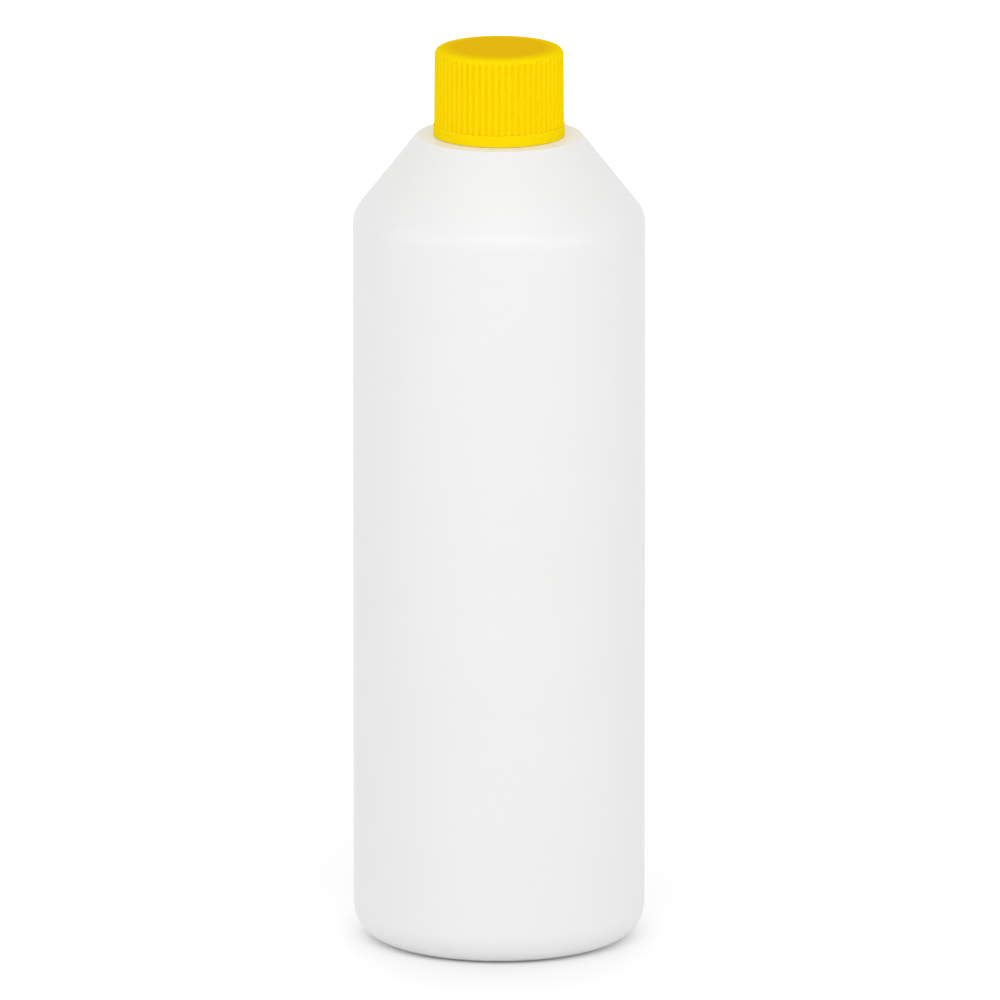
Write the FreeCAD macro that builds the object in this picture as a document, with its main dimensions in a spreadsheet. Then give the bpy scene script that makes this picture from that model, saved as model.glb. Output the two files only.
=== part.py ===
import FreeCAD
import Part

import math
import os

import Sketcher
from FreeCAD import Vector

# A half-litre pharmacy bottle: a blow-moulded round bottle with a conical shoulder, and a
# moulded screw cap with grip ribs, a tamper band and a sealing liner.
# Millimetres. +Z is up the bottle, and the origin is the middle of the base ring's plane.

SIZES = {
    # bottle body
    "body_diameter": 65.0,
    "wall": 1.1,
    "base_corner": 7.5,
    "foot_width": 2.4,
    "inner_corner": 4.8,
    "push_up": 1.8,
    "panel_slope": 4.0,
    # shoulder: a cone that ends in a flat land round the neck
    "shoulder_foot": 164.8,
    "shoulder_top": 182.45,
    "shoulder_bend": 6.0,
    "land_diameter": 36.9,
    # neck finish
    "neck_diameter": 22.8,
    "neck_bore": 18.4,
    "neck_top": 199.95,
    "neck_root": 0.7,
    "rim_edge": 0.4,
    "bead_diameter": 25.1,
    "bead_foot": 184.55,
    "bead_height": 1.0,
    "bead_slope": 1.1,
    # screw cap
    "cap_top": 202.25,
    "cap_top_diameter": 28.6,
    "cap_foot_diameter": 28.85,
    "cap_edge": 1.4,
    "rim_height": 1.5,
    "skirt_foot": 185.1,
    "skirt_bore": 25.6,
    "roof": 1.3,
    "seat_diameter": 24.2,
    "lip_diameter": 23.5,
    "seat_depth": 1.7,
    # grip ribs
    "rib_count": 60.0,
    "rib_depth": 0.45,
    "rib_crest": 0.45,
    "rib_flank": 25.0,
    "rib_root": 0.3,
    "rib_inset": 0.05,
    # liner
    "liner_diameter": 23.7,
    "liner_thickness": 1.0,
    # tamper band
    "band_diameter": 29.1,
    "band_foot": 182.65,
    "band_top": 184.85,
    "band_bore": 25.7,
    "band_edge": 0.35,
    "hook_diameter": 24.5,
    "hook_top": 184.3,
    "bridge_width": 0.5,
    "bridge_depth": 0.7,
}

BODY_RADIUS = "Sizes.body_diameter / 2"
LAND_RADIUS = "Sizes.land_diameter / 2"
NECK_RADIUS = "Sizes.neck_diameter / 2"
BORE_RADIUS = "Sizes.neck_bore / 2"
BEAD_RADIUS = "Sizes.bead_diameter / 2"
BEAD_SHELF = "Sizes.bead_foot + Sizes.bead_height"
FOOT_OUTER = "Sizes.body_diameter / 2 - Sizes.base_corner"
FOOT_INNER = FOOT_OUTER + " - Sizes.foot_width"
PANEL_RADIUS = FOOT_INNER + " - Sizes.panel_slope"
SHOULDER_RUN = "(Sizes.body_diameter - Sizes.land_diameter) / 2"
SHOULDER_LEAN = f"atan({SHOULDER_RUN} / (Sizes.shoulder_top - Sizes.shoulder_foot))"
CREST_TOP = "Sizes.cap_top_diameter / 2"
CREST_FOOT = "Sizes.cap_foot_diameter / 2"
RIM_FOOT = "Sizes.cap_top - Sizes.rim_height"
ROOF_UNDERSIDE = "Sizes.cap_top - Sizes.roof"
LINER_UNDERSIDE = ROOF_UNDERSIDE + " - Sizes.liner_thickness"
HALF_PITCH = "180 deg / Sizes.rib_count"    # from the X axis to the first rib's middle

START = 1       # Sketcher's numbers for the ends of a line or arc
END = 2
ORIGIN = -1     # Sketcher's number for the sketch's own origin and horizontal axis
VERTICAL = -2   # and for its vertical axis
EDGE_BENDS = (20, 55, 90)   # degrees round the cap's top edge, from the side up

doc = FreeCAD.newDocument("PharmacyBottle")


# ---------------------------------------------------------------- sheet and helpers

def make_sheet():
    """Writes the driving dimensions, a name and a number to each row."""
    sheet = doc.addObject("Spreadsheet::Sheet", "Sizes")
    for row, (alias, value) in enumerate(SIZES.items(), start=1):
        sheet.set(f"A{row}", alias)
        sheet.set(f"B{row}", str(value))
        sheet.setAlias(f"B{row}", alias)
    doc.recompute()


def make_body(name, label):
    body = doc.addObject("PartDesign::Body", name)
    body.Label = label
    return body


def origin_feature(body, role):
    return next(item for item in body.Origin.OriginFeatures if item.Role == role)


def make_sketch(body, name, plane, height="0", turn="0"):
    """A sketch on one of the body's own origin planes, moved along its normal and turned on it."""
    sketch = body.newObject("Sketcher::SketchObject", name)
    sketch.AttachmentSupport = (origin_feature(body, plane), [""])
    sketch.MapMode = "FlatFace"
    if height != "0":
        sketch.setExpression("AttachmentOffset.Base.z", height)
    if turn != "0":
        sketch.setExpression("AttachmentOffset.Rotation.Angle", turn)
    return sketch


def number(sketch, expression):
    return float(sketch.evalExpression(expression))


def pin(sketch, piece, point, across, up):
    """Holds a point of a line or arc at its distances from the origin, read from the sheet."""
    for kind, expression, axis in (("DistanceX", across, VERTICAL), ("DistanceY", up, ORIGIN)):
        if expression == "0":
            sketch.addConstraint(Sketcher.Constraint("PointOnObject", piece, point, axis))
            continue
        value = number(sketch, expression)
        place = sketch.addConstraint(Sketcher.Constraint(kind, ORIGIN, START, piece, point, value))
        sketch.setExpression(f"Constraints[{place}]", expression)


def corner_round(sketch, before, corner, after, radius):
    """The arc that rounds a corner, and whether it runs on from the line before."""
    back = (before - corner).normalize()
    ahead = (after - corner).normalize()
    half_angle = back.getAngle(ahead) / 2
    reach = radius / math.tan(half_angle)
    centre = corner + (back + ahead).normalize() * (radius / math.sin(half_angle))
    first = corner + back * reach
    second = corner + ahead * reach
    turns_left = ahead.cross(back).z > 0
    start, end = (first, second) if turns_left else (second, first)
    circle = Part.Circle(centre, Vector(0, 0, 1), radius)
    arc = Part.ArcOfCircle(circle, circle.parameter(start), circle.parameter(end))
    return first, second, sketch.addGeometry(arc, False), turns_left


def draw_outline(sketch, corners, rounds=None):
    """A closed outline through corners given as pairs of expressions.

    rounds gives the radius at a numbered corner.
    """
    rounds = rounds or {}
    points = [Vector(number(sketch, across), number(sketch, up), 0) for across, up in corners]
    starts = list(points)
    ends = points[1:] + points[:1]
    arcs = {}
    for index, radius in rounds.items():
        first, second, arc, turns_left = corner_round(
            sketch, points[index - 1], points[index], points[index + 1], number(sketch, radius))
        ends[index - 1] = first
        starts[index] = second
        arcs[index] = (arc, turns_left)
    lines = []
    for start, end in zip(starts, ends):
        lines.append(sketch.addGeometry(Part.LineSegment(start, end), False))
    for index, (across, up) in enumerate(corners):
        before = lines[index - 1]
        after = lines[index]
        if index not in rounds:
            sketch.addConstraint(Sketcher.Constraint("Coincident", before, END, after, START))
            pin(sketch, after, START, across, up)
            continue
        arc, turns_left = arcs[index]
        arc_first, arc_second = (START, END) if turns_left else (END, START)
        sketch.addConstraint(Sketcher.Constraint("Tangent", before, END, arc, arc_first))
        sketch.addConstraint(Sketcher.Constraint("Tangent", arc, arc_second, after, START))
        place = sketch.addConstraint(
            Sketcher.Constraint("Radius", arc, number(sketch, rounds[index])))
        sketch.setExpression(f"Constraints[{place}]", rounds[index])
        crossing = sketch.addGeometry(Part.Point(points[index]), True)
        sketch.addConstraint(Sketcher.Constraint("PointOnObject", crossing, START, before))
        sketch.addConstraint(Sketcher.Constraint("PointOnObject", crossing, START, after))
        pin(sketch, crossing, START, across, up)


def revolve(body, kind, name, sketch):
    """Turns a sketch on the XZ plane once round the bottle's axis."""
    feature = body.newObject(kind, name)
    feature.Profile = sketch
    feature.ReferenceAxis = (sketch, ["V_Axis"])
    feature.Angle = 360
    doc.recompute()
    return feature


def pattern_round(body, name, feature, count):
    """Repeats a feature evenly round the bottle's axis."""
    pattern = body.newObject("PartDesign::PolarPattern", name)
    pattern.Originals = [feature]
    pattern.Axis = (origin_feature(body, "Z_Axis"), [""])
    pattern.Angle = 360
    pattern.setExpression("Occurrences", count)
    body.Tip = pattern
    doc.recompute()
    return pattern


# ---------------------------------------------------------------- bottle

def make_bottle():
    """One blown shell, revolved from its wall section: up the outside and down the inside."""
    body = make_body("Bottle", "bottle")
    section = make_sketch(body, "WallSection", "XZ_Plane")
    outside = [
        ("0", "Sizes.push_up"),
        (PANEL_RADIUS, "Sizes.push_up"),
        (FOOT_INNER, "0"),
        (BODY_RADIUS, "0"),
        (BODY_RADIUS, "Sizes.shoulder_foot"),
        (LAND_RADIUS, "Sizes.shoulder_top"),
        (NECK_RADIUS + " + Sizes.neck_root", "Sizes.shoulder_top"),
        (NECK_RADIUS, "Sizes.shoulder_top + Sizes.neck_root"),
        (NECK_RADIUS, "Sizes.bead_foot"),
        (BEAD_RADIUS, "Sizes.bead_foot"),
        (BEAD_RADIUS, BEAD_SHELF),
        (NECK_RADIUS, BEAD_SHELF + " + Sizes.bead_slope"),
        (NECK_RADIUS, "Sizes.neck_top - Sizes.rim_edge"),
        (NECK_RADIUS + " - Sizes.rim_edge", "Sizes.neck_top"),
    ]
    inner_radius = BODY_RADIUS + " - Sizes.wall"
    inner_bend = f"Sizes.shoulder_foot - Sizes.wall * tan({SHOULDER_LEAN} / 2)"
    inner_land = "Sizes.shoulder_top - Sizes.wall"
    inner_land_radius = f"{LAND_RADIUS} - Sizes.wall * tan((90 deg - {SHOULDER_LEAN}) / 2)"
    inside = [
        (BORE_RADIUS + " + Sizes.rim_edge", "Sizes.neck_top"),
        (BORE_RADIUS, "Sizes.neck_top - Sizes.rim_edge"),
        (BORE_RADIUS, inner_land),
        (inner_land_radius, inner_land),
        (inner_radius, inner_bend),
        (inner_radius, "Sizes.wall + Sizes.inner_corner"),
        (inner_radius + " - Sizes.inner_corner", "Sizes.wall"),
        (FOOT_INNER, "Sizes.wall"),
        (PANEL_RADIUS, "Sizes.push_up + Sizes.wall"),
        ("0", "Sizes.push_up + Sizes.wall"),
    ]
    rounds = {
        outside.index((BODY_RADIUS, "0")): "Sizes.base_corner",
        outside.index((BODY_RADIUS, "Sizes.shoulder_foot")): "Sizes.shoulder_bend",
    }
    draw_outline(section, outside + inside, rounds)
    revolve(body, "PartDesign::Revolution", "BlownShell", section)
    return body


# ---------------------------------------------------------------- screw cap

def draw_rib(sketch):
    """Section of the first grip rib: a flat crest on two sloping flanks."""
    foot_across = CREST_FOOT + " - Sizes.rib_depth - Sizes.rib_root"
    crest_half = "Sizes.rib_crest / 2"
    foot_half = crest_half + " + (Sizes.rib_depth + Sizes.rib_root) * tan(Sizes.rib_flank)"
    draw_outline(sketch, [
        (foot_across, foot_half),
        (foot_across, f"-({foot_half})"),
        (CREST_FOOT, f"-({crest_half})"),
        (CREST_FOOT, crest_half),
    ])


def draw_cap_edge(sketch):
    """Section of what the rounded top edge takes away from the rim."""
    arc_across = CREST_TOP + " - Sizes.cap_edge"
    arc_up = "Sizes.cap_top - Sizes.cap_edge"
    clear_across = CREST_FOOT + " + Sizes.cap_edge"
    clear_up = "Sizes.cap_top + Sizes.cap_edge"
    bends = []
    for angle in EDGE_BENDS:
        bends.append((f"{arc_across} + Sizes.cap_edge * cos({angle})",
                      f"{arc_up} + Sizes.cap_edge * sin({angle})"))
    draw_outline(sketch, bends + [
        (arc_across, clear_up),
        (clear_across, clear_up),
        (clear_across, bends[0][1]),
    ])


def make_cap():
    """One moulding: drafted skirt, smooth rim, roof and liner seat, then the ribs up to the rim.

    The ribs lean in with the draft and end under the rim, a little inside it, where a slope
    closes the grooves. The seat narrows downwards, so that it keeps the liner from dropping out.
    """
    body = make_body("ScrewCap", "screw_cap")
    section = make_sketch(body, "CapSection", "XZ_Plane")
    seat_foot = ROOF_UNDERSIDE + " - Sizes.seat_depth"
    draw_outline(section, [
        ("0", "Sizes.cap_top"),
        (CREST_TOP, "Sizes.cap_top"),
        (CREST_TOP, RIM_FOOT),
        (CREST_TOP + " - Sizes.rib_depth", RIM_FOOT + " - Sizes.rib_depth"),
        (CREST_FOOT + " - Sizes.rib_depth", "Sizes.skirt_foot"),
        ("Sizes.skirt_bore / 2", "Sizes.skirt_foot"),
        ("Sizes.skirt_bore / 2", seat_foot),
        ("Sizes.lip_diameter / 2", seat_foot),
        ("Sizes.seat_diameter / 2", ROOF_UNDERSIDE),
        ("0", ROOF_UNDERSIDE),
    ])
    form = revolve(body, "PartDesign::Revolution", "CapForm", section)

    edge = make_sketch(body, "CapEdgeOutline", "XZ_Plane")
    draw_cap_edge(edge)
    rounded = revolve(body, "PartDesign::Groove", "CapEdge", edge)
    check_lighter(rounded, form)

    rib_section = make_sketch(body, "RibSection", "XY_Plane", "Sizes.skirt_foot", HALF_PITCH)
    draw_rib(rib_section)
    rib = body.newObject("PartDesign::Pad", "GripRib")
    rib.Profile = rib_section
    rib.UseCustomVector = True
    lean = f"({CREST_TOP} - Sizes.rib_inset - {CREST_FOOT})"
    rib.setExpression("Direction.x", f"{lean} * cos({HALF_PITCH})")
    rib.setExpression("Direction.y", f"{lean} * sin({HALF_PITCH})")
    rib.setExpression("Direction.z", f"{RIM_FOOT} - Sizes.skirt_foot")
    rib.AlongSketchNormal = True
    rib.setExpression("Length", f"{RIM_FOOT} - Sizes.skirt_foot")
    doc.recompute()
    pattern_round(body, "GripRibs", rib, "Sizes.rib_count")
    return body


# ---------------------------------------------------------------- liner and tamper band

def make_liner():
    """Foam disc, punched from sheet, that lies in the cap's roof and seals on the neck's rim."""
    body = make_body("CapLiner", "cap_liner")
    disc = make_sketch(body, "LinerOutline", "XZ_Plane")
    draw_outline(disc, [
        ("0", LINER_UNDERSIDE),
        ("Sizes.liner_diameter / 2", LINER_UNDERSIDE),
        ("Sizes.liner_diameter / 2", ROOF_UNDERSIDE),
        ("0", ROOF_UNDERSIDE),
    ])
    revolve(body, "PartDesign::Revolution", "LinerDisc", disc)
    return body


def make_band():
    """Ring that stays under the neck's bead, with thin bridges up to the cap's ribs."""
    body = make_body("TamperBand", "tamper_band")
    section = make_sketch(body, "BandSection", "XZ_Plane")
    hook_radius = "Sizes.hook_diameter / 2"
    bore_radius = "Sizes.band_bore / 2"
    hook_slope = "(Sizes.band_bore - Sizes.hook_diameter) / 2"
    draw_outline(section, [
        (bore_radius, "Sizes.band_foot"),
        ("Sizes.band_diameter / 2 - Sizes.band_edge", "Sizes.band_foot"),
        ("Sizes.band_diameter / 2", "Sizes.band_foot + Sizes.band_edge"),
        ("Sizes.band_diameter / 2", "Sizes.band_top"),
        (bore_radius, "Sizes.band_top"),
        (bore_radius, "Sizes.hook_top"),
        (hook_radius, "Sizes.hook_top"),
        (bore_radius, f"Sizes.hook_top - {hook_slope}"),
    ])
    ring = revolve(body, "PartDesign::Revolution", "BandRing", section)

    bridge_outline = make_sketch(body, "BridgeOutline", "XY_Plane", "Sizes.band_top", HALF_PITCH)
    bridge_inner = CREST_FOOT + " - Sizes.bridge_depth"
    draw_outline(bridge_outline, [
        (bridge_inner, "-Sizes.bridge_width / 2"),
        (CREST_FOOT, "-Sizes.bridge_width / 2"),
        (CREST_FOOT, "Sizes.bridge_width / 2"),
        (bridge_inner, "Sizes.bridge_width / 2"),
    ])
    bridge = body.newObject("PartDesign::Pad", "Bridge")
    bridge.Profile = bridge_outline
    bridge.setExpression("Length", "Sizes.skirt_foot - Sizes.band_top")
    doc.recompute()
    if bridge.Shape.Volume <= ring.Shape.Volume:
        raise RuntimeError("the bridge added nothing to the band")
    pattern_round(body, "Bridges", bridge, "Sizes.rib_count")
    return body


# ---------------------------------------------------------------- checks and export

def check_lighter(feature, base):
    if feature.Shape.Volume >= base.Shape.Volume:
        raise RuntimeError(f"{feature.Name} removed nothing from {base.Name}")


def check_document():
    for item in doc.Objects:
        if "Invalid" in item.State or "Error" in item.State:
            raise RuntimeError(f"{item.Name} failed: {item.State}")


def export(body):
    shape = body.Shape
    if shape.isNull() or not shape.isValid() or len(shape.Solids) != 1:
        raise RuntimeError(f"{body.Label} is not one valid solid")
    shape.exportStep(f"parts/{body.Label}.step")
    print(f"{body.Label}: {shape.Volume / 1000:.2f} cm3, {len(shape.Faces)} faces")


os.makedirs("parts", exist_ok=True)
make_sheet()
bodies = [make_bottle(), make_cap(), make_liner(), make_band()]
doc.recompute()
check_document()
for finished in bodies:
    export(finished)
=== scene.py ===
from math import atan2, cos, degrees, hypot, pi, radians, sin, tan

import bmesh
import bpy
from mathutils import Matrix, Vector


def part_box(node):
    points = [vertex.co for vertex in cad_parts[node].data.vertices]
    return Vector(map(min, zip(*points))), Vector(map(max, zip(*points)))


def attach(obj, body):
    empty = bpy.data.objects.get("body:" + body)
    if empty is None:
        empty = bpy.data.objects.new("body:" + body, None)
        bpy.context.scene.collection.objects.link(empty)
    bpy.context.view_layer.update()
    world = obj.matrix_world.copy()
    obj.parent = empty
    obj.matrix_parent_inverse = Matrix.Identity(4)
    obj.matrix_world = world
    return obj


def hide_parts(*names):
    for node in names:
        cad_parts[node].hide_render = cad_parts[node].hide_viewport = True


# The looks of a half-litre pharmacy bottle: a blown white bottle with its neck thread, and a
# moulded yellow screw cap with grip ribs, a tamper band and a foam liner.
# Sizes are in millimetres and are turned to metres by mm(). +Z is up the bottle's axis.

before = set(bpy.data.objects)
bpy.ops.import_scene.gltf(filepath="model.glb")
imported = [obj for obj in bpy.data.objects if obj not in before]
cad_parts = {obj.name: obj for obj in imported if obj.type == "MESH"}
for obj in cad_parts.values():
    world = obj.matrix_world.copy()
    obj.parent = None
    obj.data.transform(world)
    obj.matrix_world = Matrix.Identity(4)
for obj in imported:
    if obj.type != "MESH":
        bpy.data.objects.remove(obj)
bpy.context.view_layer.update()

MM = 0.001
AXIS = (0.0, 0.0, 1.0)
ORIGIN = (0.0, 0.0, 0.0)
FULL_TURN = 2 * pi


def mm(*values):
    """Millimetres to metres."""
    metres = tuple(value * MM for value in values)
    return metres if len(metres) > 1 else metres[0]


def outer_radius(node):
    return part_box(node)[1].x / MM


def foot(node):
    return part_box(node)[0].z / MM


def top(node):
    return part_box(node)[1].z / MM


# ---------------------------------------------------------------- sizes

SEAM_HEIGHT = 0.05                                  # parting line, proud of the wall
SEAM_SPREAD = 0.14                                  # and half its width

# read off the CAD nodes
BODY_RADIUS = outer_radius("bottle") - SEAM_HEIGHT
NECK_TOP = top("bottle")
BAND_RADIUS = outer_radius("tamper_band")
CAP_TOP = top("screw_cap")
CAP_FOOT = foot("screw_cap")
CREST_FOOT = outer_radius("screw_cap")
LINER_RADIUS = outer_radius("cap_liner")
LINER_TOP = top("cap_liner")

# bottle
WALL = 1.1
BASE_CORNER = 7.5
FOOT_WIDTH = 2.4
PUSH_UP = 1.8
PANEL_SLOPE = 4.0
PANEL_CROWN = 0.5                                   # the panel's middle over its edge
SHOULDER_FOOT = 164.8
SHOULDER_BEND = 6.0
LAND_HEIGHT = 182.45
LAND_RADIUS = 18.45
NECK_RADIUS = 11.4
BORE_RADIUS = 9.2
RIM_EDGE = 0.4
BEAD_RADIUS = 12.55
BEAD_FOOT = 184.55
BEAD_HEIGHT = 1.0
BEAD_SLOPE = 1.1

# screw cap
SKIRT_DRAFT = 0.125
CREST_TOP = CREST_FOOT - SKIRT_DRAFT
CAP_EDGE = 1.5
DOME_START = 11.0                                   # the flat middle ends a little inside this
DOME_SLOPE = radians(3)
DOME_BEND = 29
GATE_DEPTH = 0.04
GATE_FLOOR = 0.5
GATE_RADIUS = 0.8
SKIRT_BORE = 12.8
SEAT_FOOT = LINER_TOP - 1.7
SEAT_RADIUS = 12.1
LIP_RADIUS = 11.75                                  # the seat narrows to this at its foot

# grip ribs
RIBS = 60
RIB_ANGLE = FULL_TURN / RIBS
GROOVE_START = CAP_TOP - 0.4
GROOVE_FULL = CAP_TOP - 2.0
GROOVE_DEPTH = 0.6
GROOVE_NARROWNESS = 1.6

# tamper band
BAND_TOP = CAP_FOOT - 0.02                          # all but up to the skirt
BAND_FOOT = LAND_HEIGHT + 0.06                      # and all but down to the land
BAND_BORE = 12.85
HOOK_RADIUS = 12.25
HOOK_TOP = BEAD_FOOT - 0.25
BRIDGE_DEPTH = 0.7
BRIDGE_WIDTH = 0.85
BRIDGE_EDGE = 0.3
BRIDGE_SINK = 0.1                                   # into the band's top
BRIDGE_INSET = 0.01                                 # under the ribs' crests

# threads of the neck and the cap
PITCH = 3.5
THREAD_TURNS = 1.5
THREAD_ROOT_WIDTH = 1.9
THREAD_CREST_WIDTH = 0.7
THREAD_CREST_EDGE = 0.2
THREAD_BURIED = 0.3                                 # into the wall it stands on
NECK_THREAD_CREST = 12.35
NECK_THREAD_FOOT = NECK_TOP - 9.3
CAP_THREAD_CREST = 11.95
CAP_THREAD_FOOT = NECK_TOP - 11.05

# how the meshes are cut and put together
BOTTLE_STEPS = 192
BAND_STEPS = 240
LINER_STEPS = 120
RIB_COLUMNS = 12
THREAD_STEPS = 72                                   # to a full turn
THREAD_FADE = 10                                    # steps over which each end dies away
FACET_LENGTH = 0.6                                  # the longest on a rounded corner
FACET_TURN = 6                                      # degrees, the most on a rounded corner
SMALL_FACET_TURN = 18                               # the same, where it is rounded by 1 or less
REACH = 0.004                                       # a vertex this close to a place is at it
COLUMN_REACH = radians(0.1)
WELD = 0.002                                        # vertices as close as this become one
ALREADY_THERE = 0.001                               # a move shorter than this isn't made
SKIRT_OUTSIDE = SKIRT_BORE + 0.3                    # what lies beyond this is the ribbed side


# ---------------------------------------------------------------- modelling by hand

def add_point(name, radius, height):
    """A new mesh of one vertex, in edit mode: the start of a half section in the XZ plane."""
    bpy.ops.object.select_all(action="DESELECT")
    bpy.ops.mesh.primitive_plane_add(size=mm(1), location=mm(radius, 0, height))
    bpy.ops.object.transform_apply(location=True, rotation=True, scale=True)
    piece = bpy.context.object
    piece.name = name
    piece.data.name = name
    bpy.ops.object.mode_set(mode="EDIT")
    bpy.ops.mesh.select_mode(type="VERT")
    bpy.ops.mesh.select_all(action="SELECT")
    bpy.ops.mesh.merge(type="CENTER")
    return piece


def add_block(name, length, width, height, place):
    """A block with its middle at the place, in edit mode."""
    bpy.ops.object.select_all(action="DESELECT")
    bpy.ops.mesh.primitive_cube_add(size=1, location=place, scale=mm(length, width, height))
    bpy.ops.object.transform_apply(location=True, rotation=True, scale=True)
    block = bpy.context.object
    block.name = name
    bpy.ops.object.mode_set(mode="EDIT")
    return block


def select(piece, kind, test):
    """Selects the vertices, edges or faces that pass the test, and nothing else."""
    bpy.ops.mesh.select_mode(type=kind)
    bpy.ops.mesh.select_all(action="DESELECT")
    mesh = bmesh.from_edit_mesh(piece.data)
    items = {"VERT": mesh.verts, "EDGE": mesh.edges, "FACE": mesh.faces}[kind]
    for item in items:
        if test(item):
            item.select_set(True)
    mesh.select_flush_mode()
    bmesh.update_edit_mesh(piece.data)


def near(vertex, radius, height):
    """Whether a vertex lies at this radius and height, in millimetres."""
    across = hypot(vertex.co.x, vertex.co.y)
    return abs(across - mm(radius)) < mm(REACH) and abs(vertex.co.z - mm(height)) < mm(REACH)


def draw_section(name, corners, closed=False):
    """A chain of edges through corners (radius, height, rounding), each corner rounded."""
    radius, height, _ = corners[0]
    piece = add_point(name, radius, height)
    for before, after in zip(corners, corners[1:]):
        step = mm(after[0] - before[0], 0, after[1] - before[1])
        bpy.ops.mesh.extrude_vertices_move(TRANSFORM_OT_translate={"value": step})
    if closed:
        ends = (corners[0], corners[-1])
        select(piece, "VERT", lambda v: any(near(v, end[0], end[1]) for end in ends))
        bpy.ops.mesh.edge_face_add()
    for before, corner, after in zip(corners, corners[1:], corners[2:]):
        radius, height, rounding = corner
        if not rounding:
            continue
        back = Vector((before[0] - radius, before[1] - height))
        ahead = Vector((after[0] - radius, after[1] - height))
        turn = pi - back.angle(ahead)
        facet = min(FACET_TURN if rounding > 1 else SMALL_FACET_TURN,
                    degrees(FACET_LENGTH / rounding))
        select(piece, "VERT", lambda v: near(v, radius, height))
        bpy.ops.mesh.bevel(affect="VERTICES", offset_type="OFFSET", clamp_overlap=False,
                           offset=mm(rounding * tan(turn / 2)), profile=0.5,
                           segments=max(2, round(degrees(turn) / facet)))
    return piece


def close_seams(piece):
    """Merges the vertices that meet at seams and poles, and points every face outwards."""
    bpy.ops.mesh.select_all(action="SELECT")
    bpy.ops.mesh.remove_doubles(threshold=mm(WELD))
    bpy.ops.mesh.normals_make_consistent(inside=False)


def spin(angle, steps, copies=False):
    """Turns the whole section, or copies of it, about the bottle's axis."""
    bpy.ops.mesh.select_all(action="SELECT")
    bpy.ops.mesh.spin(steps=steps, angle=angle, center=ORIGIN, axis=AXIS, dupli=copies)


def leave(piece, smooth_under=35):
    """Back to object mode, with the faces smooth wherever they meet at less than the angle."""
    bpy.ops.object.mode_set(mode="OBJECT")
    bpy.ops.object.select_all(action="DESELECT")
    piece.select_set(True)
    bpy.context.view_layer.objects.active = piece
    bpy.ops.object.shade_smooth_by_angle(angle=radians(smooth_under))
    return piece


def join(piece, *others):
    """Makes the others part of the piece's mesh, as they are moulded in one with it."""
    bpy.ops.object.select_all(action="DESELECT")
    for other in (piece, *others):
        other.select_set(True)
    bpy.context.view_layer.objects.active = piece
    bpy.ops.object.join()
    return piece


def wind_thread(name, root, crest, lowest):
    """A right-handed ridge wound about the axis, whose crest fades into its wall at both ends."""
    half_root = THREAD_ROOT_WIDTH / 2
    half_crest = THREAD_CREST_WIDTH / 2
    middle = lowest + half_root
    buried = root + (THREAD_BURIED if root > crest else -THREAD_BURIED)
    thread = draw_section(name, [
        (buried, middle + half_root, 0),
        (root, middle + half_root, 0),
        (crest, middle + half_crest, THREAD_CREST_EDGE),
        (crest, middle - half_crest, THREAD_CREST_EDGE),
        (root, middle - half_root, 0),
        (buried, middle - half_root, 0),
    ], closed=True)
    bpy.ops.object.mode_set(mode="OBJECT")
    steps = round(THREAD_STEPS * THREAD_TURNS)
    winding = thread.modifiers.new("Winding", "SCREW")
    winding.angle = FULL_TURN * THREAD_TURNS
    winding.screw_offset = mm(PITCH * THREAD_TURNS)
    winding.steps = winding.render_steps = steps
    bpy.ops.object.modifier_apply(modifier=winding.name)
    bpy.ops.object.mode_set(mode="EDIT")
    for step in range(THREAD_FADE):
        factor = 1 + (buried / crest - 1) * (1 - step / THREAD_FADE)
        for steps_up in (step, steps - step):
            height = middle + PITCH * steps_up / THREAD_STEPS
            angle = FULL_TURN * steps_up / THREAD_STEPS
            select(thread, "VERT", lambda v: on_thread_crest(v, angle, height, crest))
            bpy.ops.transform.resize(value=(factor, factor, 1), center_override=ORIGIN)
    bpy.ops.mesh.select_all(action="SELECT")
    bpy.ops.mesh.fill_holes(sides=0)
    close_seams(thread)
    return leave(thread)


def on_thread_crest(vertex, angle, height, crest):
    """Whether a vertex is on the crest of the thread's section at this angle and height."""
    beside, under_crest = mm(0.1), mm(0.25)         # how far off it may lie
    across = Vector((vertex.co.x, vertex.co.y))
    ahead = Vector((cos(angle), sin(angle)))
    in_section = across.dot(ahead) > 0 and abs(ahead.cross(across)) < beside
    at_height = abs(vertex.co.z - mm(height)) < mm(THREAD_ROOT_WIDTH / 2)
    return in_section and at_height and abs(across.length - mm(crest)) < under_crest


# ---------------------------------------------------------------- bottle

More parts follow.
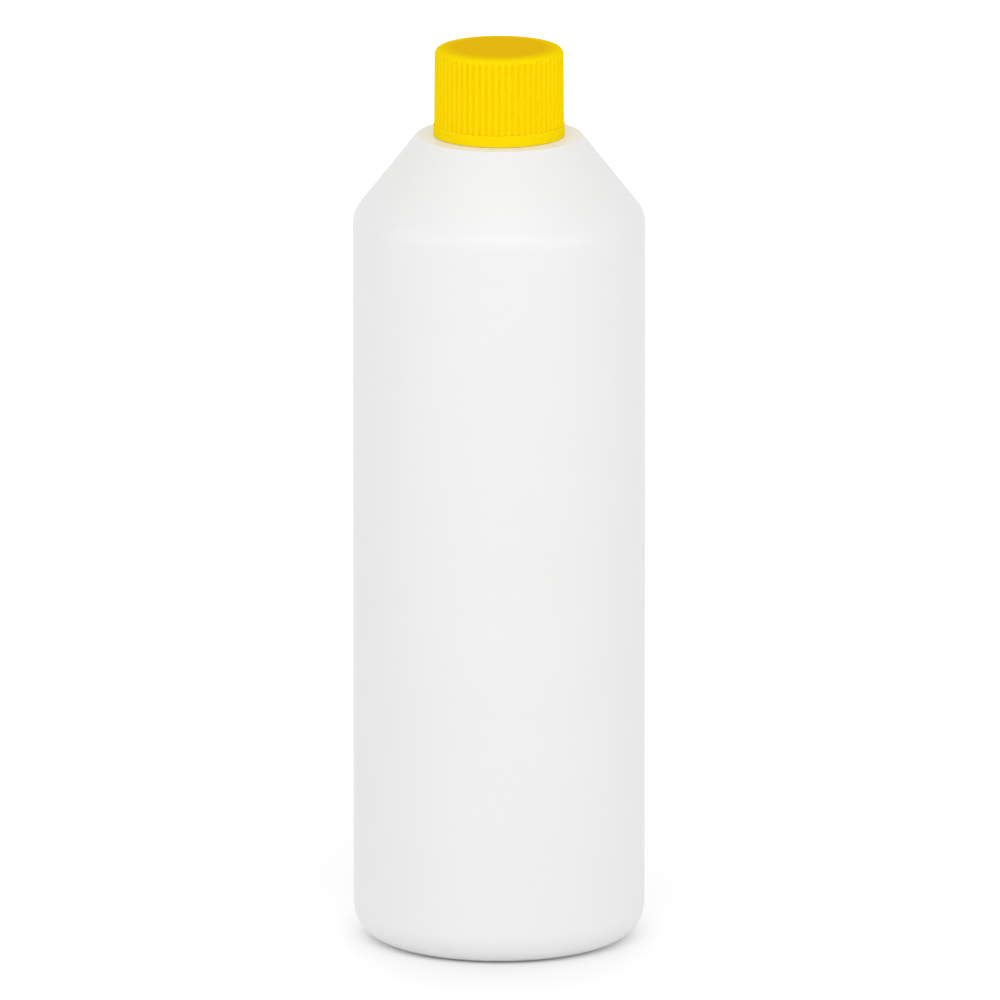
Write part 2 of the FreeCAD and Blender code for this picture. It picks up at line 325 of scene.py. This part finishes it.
def make_bottle():
    """One blown shell, foot ring to rim, with its parting line, pinch-off seam and thread."""
    foot_outer = BODY_RADIUS - BASE_CORNER
    foot_inner = foot_outer - FOOT_WIDTH
    panel = foot_inner - PANEL_SLOPE
    bead_top = BEAD_FOOT + BEAD_HEIGHT
    # the inner wall's corners, which keep the cone's wall about as thick as the body's
    inner = BODY_RADIUS - WALL
    lean = (BODY_RADIUS - LAND_RADIUS) / (LAND_HEIGHT - SHOULDER_FOOT)
    bend_inside = SHOULDER_FOOT - WALL * lean * 0.35
    land_inside = LAND_RADIUS - WALL * 0.5
    bottle = draw_section("bottle_shell", [
        (0, PUSH_UP + PANEL_CROWN, 0),
        (panel, PUSH_UP, 2.5),
        (foot_inner, 0, 1.0),
        (BODY_RADIUS, 0, BASE_CORNER),
        (BODY_RADIUS, SHOULDER_FOOT, SHOULDER_BEND),
        (LAND_RADIUS, LAND_HEIGHT, 0.25),
        (NECK_RADIUS, LAND_HEIGHT, 0.7),
        (NECK_RADIUS, BEAD_FOOT, 0),
        (BEAD_RADIUS, BEAD_FOOT, 0.15),
        (BEAD_RADIUS, bead_top, 0.3),
        (NECK_RADIUS, bead_top + BEAD_SLOPE, 0.3),
        (NECK_RADIUS, NECK_TOP, RIM_EDGE),
        (BORE_RADIUS, NECK_TOP, RIM_EDGE),
        (BORE_RADIUS, LAND_HEIGHT - WALL, 1.5),
        (land_inside, LAND_HEIGHT - WALL, 1.2),
        (inner, bend_inside, SHOULDER_BEND - WALL),
        (inner, WALL, BASE_CORNER - WALL),
        (foot_inner, WALL, 1.5),
        (panel, PUSH_UP + WALL, 2.5),
        (0, PUSH_UP + WALL + PANEL_CROWN, 0),
    ])
    spin(FULL_TURN, BOTTLE_STEPS)
    close_seams(bottle)
    raise_parting_line(bottle)
    leave(bottle)
    thread = wind_thread("neck_thread", NECK_RADIUS, NECK_THREAD_CREST, NECK_THREAD_FOOT)
    return join(bottle, make_pinch_off(), thread)


def raise_parting_line(bottle):
    """The fine line up each side where the halves of the blow mould meet, at -X and +X."""
    on_plane = mm(0.01)
    over_land = mm(LAND_HEIGHT + 0.1)
    under_land = mm(LAND_HEIGHT - 0.5)
    over_foot = mm(1.0)

    def faces_out(vertex):
        return vertex.normal.x * (1 if vertex.co.x > 0 else -1) > 0.3

    def faces_up(vertex):
        return vertex.normal.z > 0.5

    def on_line(edge):
        return all(abs(v.co.y) <= on_plane and v.co.z <= over_land and
                   abs(v.co.x) > mm(NECK_RADIUS) and
                   (faces_out(v) or (faces_up(v) and v.co.z > under_land)) for v in edge.verts)

    def on_ridge(vertex):
        return (abs(vertex.co.y) < on_plane and over_foot < vertex.co.z < over_land and
                abs(vertex.co.x) > mm(NECK_RADIUS + 1) and
                (faces_out(vertex) or faces_up(vertex)))

    select(bottle, "EDGE", on_line)
    bpy.ops.mesh.bevel(affect="EDGES", offset_type="OFFSET", offset=mm(SEAM_SPREAD), segments=2,
                       profile=0.5)
    select(bottle, "VERT", on_ridge)
    bpy.ops.transform.shrink_fatten(value=mm(SEAM_HEIGHT))
    close_seams(bottle)


def make_pinch_off():
    """The seam across the base where the mould's halves pinched the blown tube shut."""
    long, wide, high, edge = 34.0, 0.9, 0.9, 0.12
    tapered = (0.9, 0.35, 1)                        # its lower face, in length and width
    seam = add_block("pinch_off", long, wide, high, mm(0, 0, PUSH_UP + high / 2))
    select(seam, "VERT", lambda v: v.co.z < mm(PUSH_UP + high / 2))
    bpy.ops.transform.resize(value=tapered, center_override=mm(0, 0, PUSH_UP))
    bpy.ops.mesh.select_all(action="SELECT")
    bpy.ops.mesh.bevel(affect="EDGES", offset_type="OFFSET", offset=mm(edge), segments=3)
    close_seams(seam)
    return leave(seam)


# ---------------------------------------------------------------- screw cap

def groove_depth(column, height):
    """How far the skirt lies under its crests: rounded grooves that run out under the roof."""
    across = ((1 + cos(FULL_TURN * column / RIB_COLUMNS)) / 2) ** GROOVE_NARROWNESS
    down = min(1, max(0, (GROOVE_START - height) / (GROOVE_START - GROOVE_FULL)))
    return GROOVE_DEPTH * across * down * down * (3 - 2 * down)


def make_cap():
    """The cap's moulding: one rib's pitch of it is shaped, and that wedge goes round 60 times."""
    edge_height = CAP_TOP - (CREST_TOP - DOME_START) * tan(DOME_SLOPE)
    cap = draw_section("screw_cap_shell", [
        (0, CAP_TOP - GATE_DEPTH, 0),
        (GATE_FLOOR, CAP_TOP - GATE_DEPTH, 0.5),
        (GATE_RADIUS, CAP_TOP, 0.5),
        (DOME_START, CAP_TOP, DOME_BEND),
        (CREST_TOP, edge_height, CAP_EDGE),
        (crest_line(GROOVE_FULL), GROOVE_FULL, 0),
        (CREST_FOOT, CAP_FOOT, 0.08),
        (SKIRT_BORE, CAP_FOOT, 0.1),
        (SKIRT_BORE, SEAT_FOOT, 0.2),
        (LIP_RADIUS, SEAT_FOOT, 0.1),
        (SEAT_RADIUS, LINER_TOP, 0),
        (0, LINER_TOP, 0),
    ])
    spin(RIB_ANGLE, RIB_COLUMNS)
    sink_grooves(cap)
    spin(FULL_TURN - RIB_ANGLE, RIBS - 1, copies=True)
    close_seams(cap)
    leave(cap, smooth_under=50)
    thread = wind_thread("cap_thread", SKIRT_BORE, CAP_THREAD_CREST, CAP_THREAD_FOOT)
    return join(cap, thread)


def crest_line(height):
    """Radius of the rib crests at a height: on the skirt's draft, and upright above the grooves."""
    rise = min(1, (height - CAP_FOOT) / (GROOVE_START - CAP_FOOT))
    return CREST_FOOT + (CREST_TOP - CREST_FOOT) * rise


def sink_grooves(cap):
    """Draws each column of the skirt in to its depth."""
    rows = outside_rows(cap)
    for column in range(RIB_COLUMNS + 1):
        angle = RIB_ANGLE * column / RIB_COLUMNS
        for radius, height in rows:
            wanted = crest_line(height) - groove_depth(column, height)
            if wanted >= radius - ALREADY_THERE:
                continue
            select(cap, "VERT", lambda v: near(v, radius, height) and in_column(v, angle))
            factor = wanted / radius
            bpy.ops.transform.resize(value=(factor, factor, 1), center_override=ORIGIN)


def in_column(vertex, angle):
    """Whether a vertex of the first wedge lies at this angle from the X axis."""
    return abs(abs(atan2(vertex.co.y, vertex.co.x)) - angle) < COLUMN_REACH


def outside_rows(cap):
    """Radius and height of each ring of vertices outside, from the skirt's foot to the rim."""
    mesh = bmesh.from_edit_mesh(cap.data)
    first_column = [v for v in mesh.verts if in_column(v, 0.0)]
    rows = [(hypot(v.co.x, v.co.y) / MM, v.co.z / MM) for v in first_column]
    return [row for row in rows if row[0] > SKIRT_OUTSIDE and row[1] < GROOVE_START]


# ---------------------------------------------------------------- tamper band and liner

def make_band():
    """The ring under the cap, hooked below the neck's bead, with its bridges to the ribs."""
    band = draw_section("tamper_band_ring", [
        (BAND_BORE, BAND_FOOT, 0),
        (BAND_RADIUS, BAND_FOOT, 0.1),
        (BAND_RADIUS, BAND_TOP, 0.12),
        (BAND_BORE, BAND_TOP, 0.1),
        (BAND_BORE, HOOK_TOP, 0),
        (HOOK_RADIUS, HOOK_TOP, 0.08),
        (BAND_BORE, HOOK_TOP - (BAND_BORE - HOOK_RADIUS), 0),
    ], closed=True)
    spin(FULL_TURN, BAND_STEPS)
    close_seams(band)
    leave(band)
    return join(band, make_bridges())


def make_bridges():
    """The short links that carry each rib's foot down to the band until the cap is first opened."""
    high = CAP_FOOT - BAND_TOP + BRIDGE_SINK
    face = CREST_FOOT - BRIDGE_INSET
    middle = mm(face - BRIDGE_DEPTH / 2, 0, CAP_FOOT - high / 2)
    bridges = add_block("bridges", BRIDGE_DEPTH, BRIDGE_WIDTH, high, middle)
    select(bridges, "EDGE", lambda e: abs(e.verts[0].co.z - e.verts[1].co.z) > mm(high / 2) and
           e.verts[0].co.x > mm(CREST_FOOT - BRIDGE_DEPTH / 2))
    bpy.ops.mesh.bevel(affect="EDGES", offset_type="OFFSET", offset=mm(BRIDGE_EDGE), segments=3)
    bpy.ops.mesh.select_all(action="SELECT")
    bpy.ops.transform.rotate(value=RIB_ANGLE / 2, orient_axis="Z", center_override=ORIGIN)
    spin(FULL_TURN - RIB_ANGLE, RIBS - 1, copies=True)
    close_seams(bridges)
    return leave(bridges)


def make_liner():
    """The foam disc, with the ring that the neck's rim has pressed into its face."""
    swell = 0.1
    edge = 0.15
    liner = draw_section("liner_disc", [
        (0, NECK_TOP - swell, 0),
        (BORE_RADIUS - 0.2, NECK_TOP - swell, 0.5),
        (BORE_RADIUS + 0.2, NECK_TOP, 0.2),
        (NECK_RADIUS - 0.2, NECK_TOP, 0.1),
        (NECK_RADIUS + 0.1, NECK_TOP - swell / 2, 0.1),
        (LINER_RADIUS, NECK_TOP - swell / 2, edge),
        (LINER_RADIUS, LINER_TOP, edge),
        (0, LINER_TOP, 0),
    ])
    spin(FULL_TURN, LINER_STEPS)
    close_seams(liner)
    return leave(liner)


# ---------------------------------------------------------------- materials

# sRGB hex codes
WHITE = "FFFFFF"
HDPE, HDPE_THICK = "F2F2F2", "EFEFEE"
# YELLOW_ROOF_SHADE is painted shade: the deeper yellow the roof is given for the weaker light on it
YELLOW, YELLOW_FLOW, YELLOW_ROOF_SHADE = "FFE108", "FFDD08", "F1C012"
FOAM, FOAM_CELL = "F4F4F0", "E4E4DE"
SWEEP = "F8F8F8"

# how wide each pattern's features are, and how high its bumps
WALL_PATCH = 28
MOULD_WAVE, WAVE_HEIGHT = 9, 0.02
BLASTED_GRAIN = 0.45                                # really finer, drawn so that it shows
FLOW_PATCH = 7
ERODED_GRAIN = 0.2
GRAIN_HEIGHT = 0.006
CELL_WIDTH, CELL_HEIGHT = 0.35, 0.03

ROOF_SHADE_FULL, ROOF_SHADE_GONE = 10.0, 14.0                  # radii between which the roof's painted shade fades out

FIRST_COLOUR, SECOND_COLOUR, BLEND = 6, 7, 2        # a Mix node's sockets, when it mixes colours


def linear(code):
    """A colour written as an sRGB hex code, as the linear colour that the shader takes."""
    channels = [int(code[i:i + 2], 16) / 255 for i in (0, 2, 4)]
    return tuple(c / 12.92 if c <= 0.04045 else ((c + 0.055) / 1.055) ** 2.4
                 for c in channels) + (1.0,)


def fill(tree, node, inputs):
    """Gives each of these inputs its value, or links it to the output of another node.

    An input is named, or numbered where several have the same name.
    """
    for name, value in inputs.items():
        if isinstance(value, bpy.types.NodeSocket):
            tree.links.new(value, node.inputs[name])
        else:
            node.inputs[name].default_value = value


def add_node(tree, kind, inputs=None, **settings):
    """Adds a node with its settings, and fills its inputs."""
    node = tree.nodes.new(kind)
    for name, value in settings.items():
        setattr(node, name, value)
    fill(tree, node, inputs or {})
    return node


def new_material(name):
    """A material with its shader, and the piece's own coordinates, in metres."""
    material = bpy.data.materials.new(name)
    material.use_nodes = True
    tree = material.node_tree
    coords = add_node(tree, "ShaderNodeTexCoord").outputs["Object"]
    return material, tree, tree.nodes["Principled BSDF"], coords


def per_metre(millimetres):
    """The scale that makes a pattern's features about this wide."""
    return 1 / mm(millimetres)


def blown_hdpe():
    """High-density polyethylene with white masterbatch, blown against a sand-blasted mould.

    Waxy and satin: a little light goes into the wall, the colour shifts faintly where the wall
    is thicker, and the skin has a fine grain over the slow waves that cooling leaves.
    """
    material, tree, shader, coords = new_material("blown_white_hdpe")
    thickness = add_node(tree, "ShaderNodeTexNoise", {
        "Vector": coords, "Scale": per_metre(WALL_PATCH), "Detail": 2.0})
    tint = add_node(tree, "ShaderNodeMix", {
        "Factor": thickness.outputs["Fac"],
        FIRST_COLOUR: linear(HDPE), SECOND_COLOUR: linear(HDPE_THICK)}, data_type="RGBA")
    waves = add_node(tree, "ShaderNodeTexNoise", {
        "Vector": coords, "Scale": per_metre(MOULD_WAVE), "Detail": 1.0})
    grain = add_node(tree, "ShaderNodeTexNoise", {
        "Vector": coords, "Scale": per_metre(BLASTED_GRAIN), "Detail": 3.0})
    rough = add_node(tree, "ShaderNodeMapRange", {
        "Value": grain.outputs["Fac"], "To Min": 0.36, "To Max": 0.46})
    slow = add_node(tree, "ShaderNodeBump", {
        "Height": waves.outputs["Fac"], "Strength": 1.0, "Distance": mm(WAVE_HEIGHT)})
    skin = add_node(tree, "ShaderNodeBump", {
        "Height": grain.outputs["Fac"], "Strength": 1.0, "Distance": mm(GRAIN_HEIGHT),
        "Normal": slow.outputs["Normal"]})
    fill(tree, shader, {
        "Base Color": tint.outputs[BLEND],
        "Roughness": rough.outputs["Result"],
        "Normal": skin.outputs["Normal"],
        "IOR": 1.54,
        "Subsurface Weight": 0.15,
        "Subsurface Radius": (1.0, 1.0, 1.0),
        "Subsurface Scale": mm(1.5)})
    return material


def moulded_pp(name):
    """Polypropylene coloured in the mass, injection-moulded in a finely eroded steel mould.

    Matt and saturated. The pigment flows a little unevenly. The roof is painted a deeper yellow, as
    painted shade for the weaker light that falls on the top, and that painted shade fades out
    towards its rounded edge.
    """
    material, tree, shader, coords = new_material(name)
    flattened = add_node(tree, "ShaderNodeVectorMath", {0: coords, 1: (1, 1, 0)},
                         operation="MULTIPLY")
    from_axis = add_node(tree, "ShaderNodeVectorMath", {0: flattened.outputs["Vector"]},
                         operation="LENGTH")
    # where the roof's painted shade lies: all of it near the axis, none towards the rim
    roof_shade = add_node(tree, "ShaderNodeMapRange", {
        "Value": from_axis.outputs["Value"],
        "From Min": mm(ROOF_SHADE_GONE), "From Max": mm(ROOF_SHADE_FULL)})
    flow = add_node(tree, "ShaderNodeTexNoise", {
        "Vector": coords, "Scale": per_metre(FLOW_PATCH), "Detail": 2.0})
    tint = add_node(tree, "ShaderNodeMix", {
        "Factor": flow.outputs["Fac"],
        FIRST_COLOUR: linear(YELLOW), SECOND_COLOUR: linear(YELLOW_FLOW)}, data_type="RGBA")
    # the roof mixed towards its painted shade
    colour = add_node(tree, "ShaderNodeMix", {
        "Factor": roof_shade.outputs["Result"],
        FIRST_COLOUR: tint.outputs[BLEND], SECOND_COLOUR: linear(YELLOW_ROOF_SHADE)},
        data_type="RGBA")
    grain = add_node(tree, "ShaderNodeTexNoise", {
        "Vector": coords, "Scale": per_metre(ERODED_GRAIN), "Detail": 2.0})
    rough = add_node(tree, "ShaderNodeMapRange", {
        "Value": grain.outputs["Fac"], "To Min": 0.34, "To Max": 0.46})
    skin = add_node(tree, "ShaderNodeBump", {
        "Height": grain.outputs["Fac"], "Strength": 1.0, "Distance": mm(GRAIN_HEIGHT)})
    fill(tree, shader, {
        "Base Color": colour.outputs[BLEND],
        "Roughness": rough.outputs["Result"],
        "Normal": skin.outputs["Normal"],
        "IOR": 1.49,
        "Specular IOR Level": 0.0,
        "Subsurface Weight": 0.1,
        "Subsurface Radius": (1.0, 0.7, 0.1),
        "Subsurface Scale": mm(0.6)})
    return material


def foamed_pe():
    """Polyethylene foam sheet with closed cells: chalky, with the cells just to be seen."""
    material, tree, shader, coords = new_material("foamed_pe")
    cells = add_node(tree, "ShaderNodeTexVoronoi", {
        "Vector": coords, "Scale": per_metre(CELL_WIDTH)})
    tint = add_node(tree, "ShaderNodeMix", {
        "Factor": cells.outputs["Distance"],
        FIRST_COLOUR: linear(FOAM), SECOND_COLOUR: linear(FOAM_CELL)}, data_type="RGBA")
    skin = add_node(tree, "ShaderNodeBump", {
        "Height": cells.outputs["Distance"], "Strength": 1.0, "Distance": mm(CELL_HEIGHT)})
    fill(tree, shader, {
        "Base Color": tint.outputs[BLEND],
        "Normal": skin.outputs["Normal"],
        "Roughness": 0.75,
        "IOR": 1.5,
        "Subsurface Weight": 0.2,
        "Subsurface Scale": mm(0.8)})
    return material


# ---------------------------------------------------------------- the stage

AMBIENT = 0.635
SWEEP_SIZE = 24                                     # metres

# the floor's lift round a spot in front of the axis: how far out, and how strong. It is kept low
# # near the foot, partly against the wall's bounce and partly as painted shade round the foot
LIFT_SPOT = (0, -20, 0)
NEAR_START, NEAR_END, FAR_END = 12, 50, 1000
FRONT_LIFT, FLOOR_LIFT, FAR_LIFT = 0.05, 0.22, 0.17

LAMP_DISTANCE = 2.6                                 # metres
UPRIGHT, LYING = (1.4, 2.0), (2.0, 1.4)             # a lamp's width and height, metres

CAMERA_DIP = radians(13.01)
CAMERA_DISTANCE = 4.451                             # metres
CAMERA_AIM = (0.2, 0, CAP_TOP * 0.4911)
CAMERA_LENS = 720
CAMERA_SENSOR = 36


def seen_directly(tree):
    """1 where the camera, a reflection or a refraction looks at the surface, 0 in its light."""
    path = add_node(tree, "ShaderNodeLightPath")
    camera_or_gloss = add_node(tree, "ShaderNodeMath", {
        0: path.outputs["Is Camera Ray"], 1: path.outputs["Is Glossy Ray"]}, operation="MAXIMUM")
    any_look = add_node(tree, "ShaderNodeMath", {
        0: camera_or_gloss.outputs[0], 1: path.outputs["Is Transmission Ray"]},
        operation="MAXIMUM")
    return any_look.outputs[0]


def make_floor():
    """A white sweep under the bottle, lifted to white where it is looked at, with its shadow.

    The lift is least in front of the foot, where the floor also gets the light off the wall, and it
    is still low beside the foot, which is painted shade that deepens the foot's shadow there. It
    grows fast over the first few centimetres and then slowly, as the lamps' light falls off.
    """
    bpy.ops.object.select_all(action="DESELECT")
    bpy.ops.mesh.primitive_plane_add(size=SWEEP_SIZE, location=ORIGIN)
    floor = bpy.context.object
    floor.name = "floor"
    material, tree, shader, coords = new_material("white_sweep")
    from_spot = add_node(tree, "ShaderNodeVectorMath", {0: coords, 1: mm(*LIFT_SPOT)},
                         operation="DISTANCE")
    # low near the foot: partly evens out the wall's bounce, partly painted shade round the foot
    near_lift_and_shade = add_node(tree, "ShaderNodeMapRange", {
        "Value": from_spot.outputs["Value"],
        "From Min": mm(NEAR_START), "From Max": mm(NEAR_END),
        "To Min": FRONT_LIFT, "To Max": FLOOR_LIFT})
    far_lift = add_node(tree, "ShaderNodeMapRange", {
        "Value": from_spot.outputs["Value"],
        "From Min": mm(NEAR_END), "From Max": mm(FAR_END),
        "To Min": 0.0, "To Max": FAR_LIFT})
    both_lifts = add_node(tree, "ShaderNodeMath", {
        0: near_lift_and_shade.outputs["Result"], 1: far_lift.outputs["Result"]}, operation="ADD")
    lift = add_node(tree, "ShaderNodeMath", {
        0: seen_directly(tree), 1: both_lifts.outputs[0]}, operation="MULTIPLY")
    fill(tree, shader, {
        "Base Color": linear(SWEEP),
        "Roughness": 1.0,
        "Specular IOR Level": 0.0,
        "Emission Color": linear(WHITE),
        "Emission Strength": lift.outputs[0]})
    floor.data.materials.append(material)


def make_world():
    """Even white light all round, and plain white where it is looked at."""
    world = bpy.data.worlds.new("studio")
    bpy.context.scene.world = world
    world.use_nodes = True
    tree = world.node_tree
    strength = add_node(tree, "ShaderNodeMapRange", {
        "Value": seen_directly(tree), "To Min": AMBIENT, "To Max": 1.0})
    fill(tree, tree.nodes["Background"], {
        "Color": linear(WHITE), "Strength": strength.outputs["Result"]})


def add_softbox(name, azimuth, elevation, size, power, mirrored=True):
    """A soft rectangular lamp that faces the bottle, with its power in watts.

    Azimuth 0 is the camera's side and 90 its right. A lamp that isn't mirrored lights surfaces
    without a glare where they are seen at a slant.
    """
    turn, rise = radians(azimuth), radians(elevation)
    aim = Vector((0, 0, CAP_TOP * MM / 2))
    away = Vector((sin(turn) * cos(rise), -cos(turn) * cos(rise), sin(rise)))
    bpy.ops.object.light_add(type="AREA", location=aim + away * LAMP_DISTANCE)
    lamp = bpy.context.object
    lamp.name = name
    lamp.rotation_euler = away.to_track_quat("Z", "Y").to_euler()
    lamp.data.shape = "RECTANGLE"
    lamp.data.size, lamp.data.size_y = size
    lamp.data.energy = power
    lamp.visible_glossy = mirrored


def make_camera():
    """Long lens, a little above the bottle, looking down its front."""
    away = Vector((0, -cos(CAMERA_DIP), sin(CAMERA_DIP)))
    bpy.ops.object.camera_add(location=Vector(mm(*CAMERA_AIM)) + away * CAMERA_DISTANCE)
    camera = bpy.context.object
    camera.rotation_euler = away.to_track_quat("Z", "Y").to_euler()
    camera.data.lens = CAMERA_LENS
    camera.data.sensor_width = CAMERA_SENSOR
    bpy.context.scene.camera = camera


def hand_over(piece, body, node, material):
    """Gives a finished piece its material and lets it ride for its CAD node."""
    piece.data.materials.clear()
    piece.data.materials.append(material)
    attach(piece, body)
    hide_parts(node)


hand_over(make_bottle(), "bottle_body", "bottle", blown_hdpe())
hand_over(make_band(), "bottle_body", "tamper_band",
          moulded_pp("moulded_yellow_pp_band"))
hand_over(make_cap(), "cap_body", "screw_cap", moulded_pp("moulded_yellow_pp"))
hand_over(make_liner(), "liner_body", "cap_liner", foamed_pe())

make_floor()
make_world()
add_softbox("left_softbox", azimuth=-65, elevation=15, size=UPRIGHT, power=7.6)
add_softbox("right_softbox", azimuth=50, elevation=12, size=UPRIGHT, power=9.6)
add_softbox("front_softbox", azimuth=0, elevation=45, size=LYING, power=17.4)
add_softbox("back_softbox", azimuth=180, elevation=10, size=LYING, power=13.0, mirrored=False)
make_camera()

bpy.context.scene.view_settings.view_transform = "Standard"
